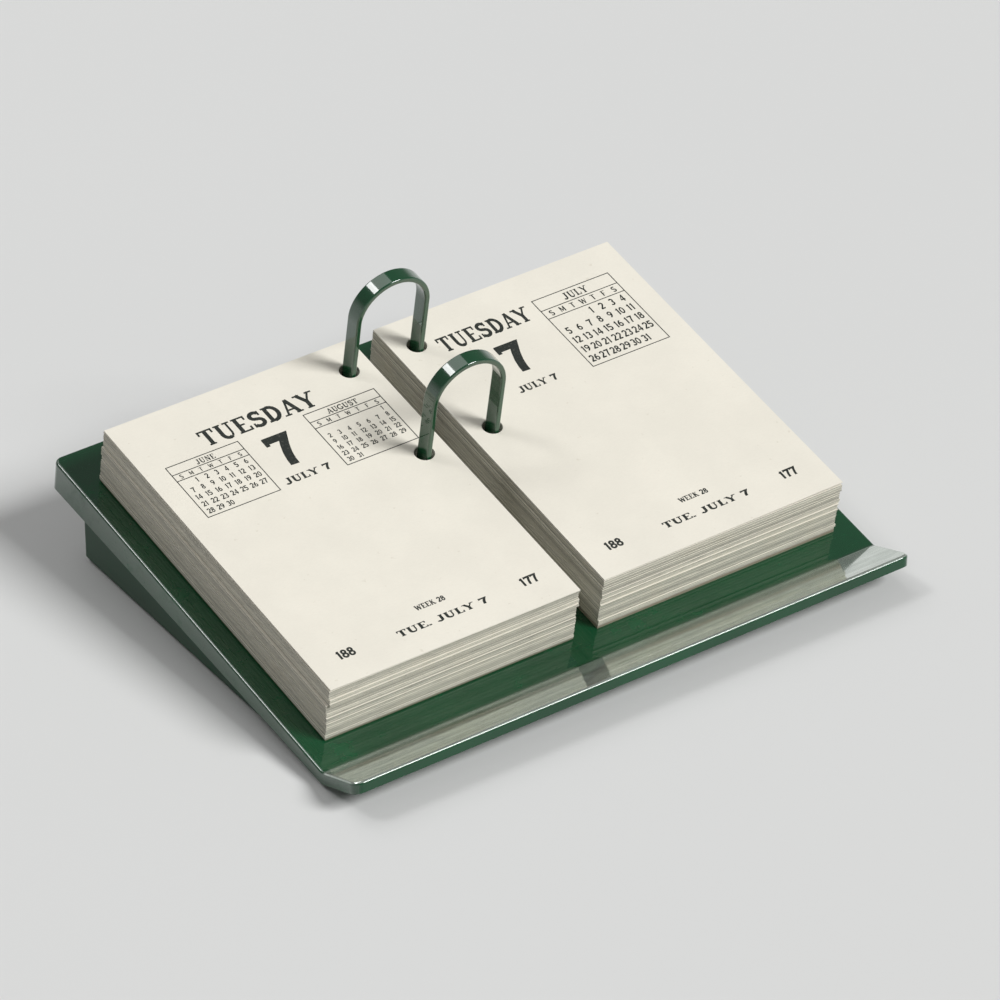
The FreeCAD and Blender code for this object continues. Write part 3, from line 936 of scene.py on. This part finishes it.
def back_print(side, name, layout, day, ink):
    """The print on the back of that leaf, as it reads once the leaf is turned over."""
    box = deck_box(name)
    low, high = box
    pieces = []
    for points, triangles in page(day, layout, low.x, low.y):
        turned = [(low.x + high.x - x, y) for x, y in points]
        pieces.append((turned, [tuple(reversed(triangle)) for triangle in triangles]))
    return print_film(
        name + "_back_print", pieces, lambda x, y: low.z + curl(x, y, box, side), -1, ink
    )


def pad_print(pad, leaf_name, level, layout, day, ink):
    """The print on the pad's uppermost leaf, which shows when the top leaf is turned."""
    low = deck_box(leaf_name)[0]
    return print_film(pad + "_print", page(day, layout, low.x, low.y), lambda x, y: level, 1, ink)


class Tree:
    """A Geometry Nodes tree with named inputs."""

    def __init__(self, name, inputs):
        self.group = bpy.data.node_groups.new(name, "GeometryNodeTree")
        face = self.group.interface
        face.new_socket("Geometry", in_out="INPUT", socket_type="NodeSocketGeometry")
        self.keys = {}
        for label, kind in inputs.items():
            socket = face.new_socket(label, in_out="INPUT", socket_type=kind)
            self.keys[label] = socket.identifier
        face.new_socket("Geometry", in_out="OUTPUT", socket_type="NodeSocketGeometry")
        self.start = self.group.nodes.new("NodeGroupInput")

    def given(self, label):
        """One of the tree's inputs."""
        return self.start.outputs[label]

    def node(self, kind, settings=None, inputs=(), output=0):
        """Adds a node and gives one of its outputs."""
        return add_node(self.group, kind, settings, inputs).outputs[output]

    def maths(self, operation, *values):
        return self.node("ShaderNodeMath", {"operation": operation}, values)

    def finish(self, geometry, flat, cut):
        """Ends the tree in real geometry: one material all over, another where cut_edge is set."""
        real = self.node("GeometryNodeRealizeInstances", {}, {0: geometry})
        sheet = self.node("GeometryNodeSetMaterial", {}, {"Geometry": real, "Material": flat})
        kind = "GeometryNodeInputNamedAttribute"
        edge = self.node(kind, {"data_type": "BOOLEAN"}, {"Name": "cut_edge"})
        inputs = {"Geometry": sheet, "Selection": edge, "Material": cut}
        ended = self.node("GeometryNodeSetMaterial", {}, inputs)
        add_node(self.group, "NodeGroupOutput", {}, {0: ended})


def stack_tree(flat, cut):
    """Piles copies of a leaf: each slips a little, and uneven clumps of them slip together."""
    kinds = {"Count": "NodeSocketInt", "Seed": "NodeSocketInt", "Clump": "NodeSocketInt"}
    for label in ("Pitch", "Settle", "Fine", "Coarse", "Turn", "Trim"):
        kinds[label] = "NodeSocketFloat"
    t = Tree("leaf_stack", kinds)
    index = t.node("GeometryNodeInputIndex")

    def chance(low, high, key, draw):
        """A random value for each leaf or clump."""
        inputs = {2: low, 3: high, "ID": key, "Seed": t.maths("ADD", t.given("Seed"), draw)}
        return t.node("FunctionNodeRandomValue", {"data_type": "FLOAT"}, inputs, output=1)

    def spread(key, draw, label):
        """A random value for each leaf or clump, either way about nothing."""
        return t.maths("MULTIPLY", chance(-1.0, 1.0, key, draw), t.given(label))

    def count_up(values, group, output):
        """Adds the values up along the pile, anew for each group."""
        inputs = {"Value": values, "Group ID": group}
        return t.node("GeometryNodeAccumulateField", {"data_type": "INT"}, inputs, output=output)

    def vector(x, y, z):
        return t.node("ShaderNodeCombineXYZ", {}, (x, y, z))

    new_clump = t.maths("DIVIDE", 1.0, t.given("Clump"))
    starts = t.maths("LESS_THAN", chance(0.0, 1.0, index, DRAW_START), new_clump)
    clump = count_up(starts, 0, "Leading")
    above_start = count_up(1, clump, "Trailing")

    def slip(draw):
        """How far a leaf slips: its own share and its clump's."""
        shared = spread(clump, draw + DRAW_CLUMP, "Coarse")
        return t.maths("ADD", spread(index, draw, "Fine"), shared)

    step = {"Count": t.given("Count"), "Offset": vector(0.0, 0.0, t.given("Pitch"))}
    pile = t.node("GeometryNodeMeshLine", {"mode": "OFFSET"}, step)
    pressed = t.maths("MINIMUM", above_start, t.given("Clump"))
    settle = t.maths("MULTIPLY", pressed, t.given("Settle"))
    moved = vector(slip(DRAW_X), slip(DRAW_Y), t.maths("MULTIPLY", settle, -1.0))
    slipped = t.node("GeometryNodeSetPosition", {}, {"Geometry": pile, "Offset": moved})
    width = t.maths("ADD", spread(clump, DRAW_WIDTH, "Trim"), 1.0)
    length = t.maths("ADD", spread(clump, DRAW_LENGTH, "Trim"), 1.0)
    copies = {
        "Points": slipped,
        "Instance": t.given("Geometry"),
        "Rotation": vector(0.0, 0.0, spread(clump, DRAW_TURN, "Turn")),
        "Scale": vector(width, length, 1.0),
    }
    leaves = t.node("GeometryNodeInstanceOnPoints", {}, copies)
    settings = {"data_type": "FLOAT", "domain": "INSTANCE"}
    tone = chance(0.0, 1.0, index, DRAW_TONE)
    inputs = {"Geometry": leaves, "Name": "leaf_tone", "Value": tone}
    t.finish(t.node("GeometryNodeStoreNamedAttribute", settings, inputs), flat, cut)
    return t


def leaf_stack(side, name, tree, finishes):
    """A pad of loose leaves, piled from the backing board to just under the top leaf.

    The leaves hang on the arches, so they slip, turn and vary about the middle of their holes.
    Returns the pad and the height of its uppermost leaf.
    """
    low, high = deck_box(name)
    holes = leaf_holes(side)
    pivot = Vector((holes[0][0], sum(y for _, y in holes) / len(holes), 0))
    holes = [(x - pivot.x, y - pivot.y) for x, y in holes]
    near, far = low - pivot, high - pivot
    points, faces = punched_plan(near.x, far.x, near.y, far.y, holes, far.y - near.y)
    leaf = slab_mesh("one_leaf", points, faces, lambda x, y: 0.0, lambda x, y: LEAF_T)
    edge = leaf.attributes.new("cut_edge", "BOOLEAN", "FACE")
    edge.data.foreach_set("value", [abs(face.normal.z) < 0.5 for face in leaf.polygons])
    for finish in finishes:
        leaf.materials.append(finish)
    holder = bpy.data.objects.new("leaf_holder", leaf)
    bpy.context.scene.collection.objects.link(holder)
    piling = holder.modifiers.new("pile", "NODES")
    piling.node_group = tree.group
    settings = {
        "Count": int((high.z - low.z - LEAF_T) / LEAF_PITCH) + 1,
        "Seed": PILE_SEED + side,
        "Clump": CLUMP_LEAVES,
        "Pitch": LEAF_PITCH,
        "Settle": LEAF_PITCH - LEAF_T - LEAF_AIR,
        "Fine": FINE_SHIFT,
        "Coarse": CLUMP_SHIFT,
        "Turn": TURN_SPREAD,
        "Trim": TRIM_SPREAD,
    }
    for label, value in settings.items():
        piling[tree.keys[label]] = value
    view = bpy.context.evaluated_depsgraph_get()
    mesh = bpy.data.meshes.new_from_object(holder.evaluated_get(view), depsgraph=view)
    bpy.data.objects.remove(holder)
    mesh.name = name + "_leaves"
    top = low.z + max(v.co.z for v in mesh.vertices)
    mesh.transform(DECK @ Matrix.Translation((pivot.x, pivot.y, low.z)))
    return mesh_object(name + "_leaves", mesh, finishes[0]), top


def make_paper():
    """Both pads, their turned leaves and all the print.

    A leaf's back and the pad beneath it carry the day before on the left and the day after on
    the right.
    """
    sheet = paper("bond_paper", PAPER)
    edges = cut_leaves("cut_leaves")
    ink = printing_ink("black_ink")
    tree = stack_tree(sheet, edges)
    today = Day("TUESDAY", 7)
    pads = (
        (-1, "left", Day("MONDAY", 6), LEFT_PAGE, RIGHT_PAGE),
        (1, "right", Day("WEDNESDAY", 8), RIGHT_PAGE, LEFT_PAGE),
    )
    for side, hand, other_day, front_page, back_page in pads:
        pad, leaf_name, leaf_body = f"leaf_pad_{hand}", f"top_leaf_{hand}", f"top_leaf_{hand}_body"
        stack, top = leaf_stack(side, pad, tree, (sheet, edges))
        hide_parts(pad)
        leaf = top_leaf(side, leaf_name, sheet)
        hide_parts(leaf_name)
        front = front_print(side, leaf_name, front_page, today, ink)
        back = back_print(side, leaf_name, back_page, other_day, ink)
        below = pad_print(pad, leaf_name, top, front_page, other_day, ink)
        bodies = {"base": (stack, below), leaf_body: (leaf, front, back)}
        for body, pieces in bodies.items():
            for piece in pieces:
                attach(piece, body)


# ---------------------------------------------------------------- metal pieces


def coat(material, *names):
    """Gives CAD nodes their finish."""
    for name in names:
        mesh = frame["nodes"][name].data
        mesh.materials.clear()
        mesh.materials.append(material)


def finish_metal():
    """Finishes for every CAD node that shows as it is."""
    knob_low, knob_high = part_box("drawer_knob")
    sides = ("left", "right")
    feet = [f"rubber_foot_{row}_{side}" for row in ("front", "rear") for side in sides]
    stoved = enamel("base_enamel", GREEN, gloss=1.0, worn=0.35, lip=True)
    coat(stoved, "base_plate", "drawer_front")
    coat(enamel("arch_enamel", GREEN, gloss=1.0, worn=0.15), "arch_back", "arch_front")
    satin = enamel("stand_enamel", STAND_GREEN, gloss=0.35, worn=0.5)
    coat(satin, "stand_frame", "bottom_plate", "drawer_tray")
    zinc = plated_steel("zinc_plate", ZINC, grain=1.0)
    coat(zinc, "arch_socket_back", "arch_socket_front", "socket_rivets", "stand_rivets")
    coat(zinc, "bottom_screws", "drawer_knob_screw", *[f"drawer_runner_{side}" for side in sides])
    wire = plated_steel("blued_wire", BLUED, grain=2.0)
    coat(wire, "arch_spring_back", "arch_spring_front")
    coat(turned_metal("turned_knob", (knob_low + knob_high) / 2), "drawer_knob")
    coat(pulp_board("pulp_board"), *[f"backing_board_{side}" for side in sides])
    coat(moulded_rubber("foot_rubber"), *feet)
    coat(wool_felt("drawer_felt"), "drawer_liner")


# ---------------------------------------------------------------- studio


def lay_floor():
    """A plain floor that reaches past the horizon."""
    mesh = bpy.data.meshes.new("floor")
    ways = ((-1, -1), (1, -1), (1, 1), (-1, 1))
    corners = [(x * FLOOR_REACH, y * FLOOR_REACH, 0) for x, y in ways]
    mesh.from_pydata(corners, [], [(0, 1, 2, 3)])
    mesh_object("floor", mesh, pale_floor("pale_floor"))


def soft_lamp(name, origin, strength, width):
    """A far, wide lamp that lights the floor evenly; origin is the way its light comes from."""
    lamp = bpy.data.lights.new(name, "SUN")
    lamp.energy = strength
    lamp.angle = math.radians(width)
    holder = bpy.data.objects.new(name, lamp)
    bpy.context.scene.collection.objects.link(holder)
    holder.matrix_world = Vector(origin).to_track_quat("Z", "Y").to_matrix().to_4x4()


def light_studio():
    """Soft lamps in a dim room whose walls are pale low down, as gloss sees it."""
    world = bpy.data.worlds.new("studio")
    bpy.context.scene.world = world
    world.use_nodes = True
    tree = world.node_tree
    room = add_node(tree, "ShaderNodeTexCoord").outputs["Generated"]
    height = add_node(tree, "ShaderNodeSeparateXYZ", {}, (room,)).outputs["Z"]
    fall = add_node(tree, "ShaderNodeMapRange", {}, (height, *WALL_FADE, WALL_LIGHT, ROOM_LIGHT))
    path = add_node(tree, "ShaderNodeLightPath").outputs["Is Diffuse Ray"]
    inputs = {"Factor": path, "A": fall.outputs[0], "B": ROOM_LIGHT}
    seen = add_node(tree, "ShaderNodeMix", {}, inputs).outputs["Result"]
    background = tree.nodes["Background"]
    background.inputs["Color"].default_value = (*DAYLIGHT, 1)
    tree.links.new(seen, background.inputs["Strength"])
    for lamp in LAMPS:
        soft_lamp(*lamp)


def place_camera():
    """A camera above the front left corner, far enough off for a calm perspective."""
    camera = bpy.data.cameras.new("camera")
    camera.sensor_width = SENSOR
    camera.lens = SENSOR * PIXELS_PER_METRE * VIEW_DISTANCE / FRAME_PIXELS
    camera.clip_start = VIEW_NEAR
    holder = bpy.data.objects.new("camera", camera)
    bpy.context.scene.collection.objects.link(holder)
    level = math.cos(VIEW_RISE)
    back = Vector((math.sin(VIEW_TURN) * level, -math.cos(VIEW_TURN) * level, math.sin(VIEW_RISE)))
    aim = back.to_track_quat("Z", "Y").to_matrix().to_4x4()
    holder.matrix_world = Matrix.Translation(VIEW_AIM + back * VIEW_DISTANCE) @ aim
    bpy.context.scene.camera = holder


bpy.context.scene.view_settings.view_transform = "Standard"
place_camera()
lay_floor()
light_studio()
make_paper()
finish_metal()
bpy.context.view_layer.update()
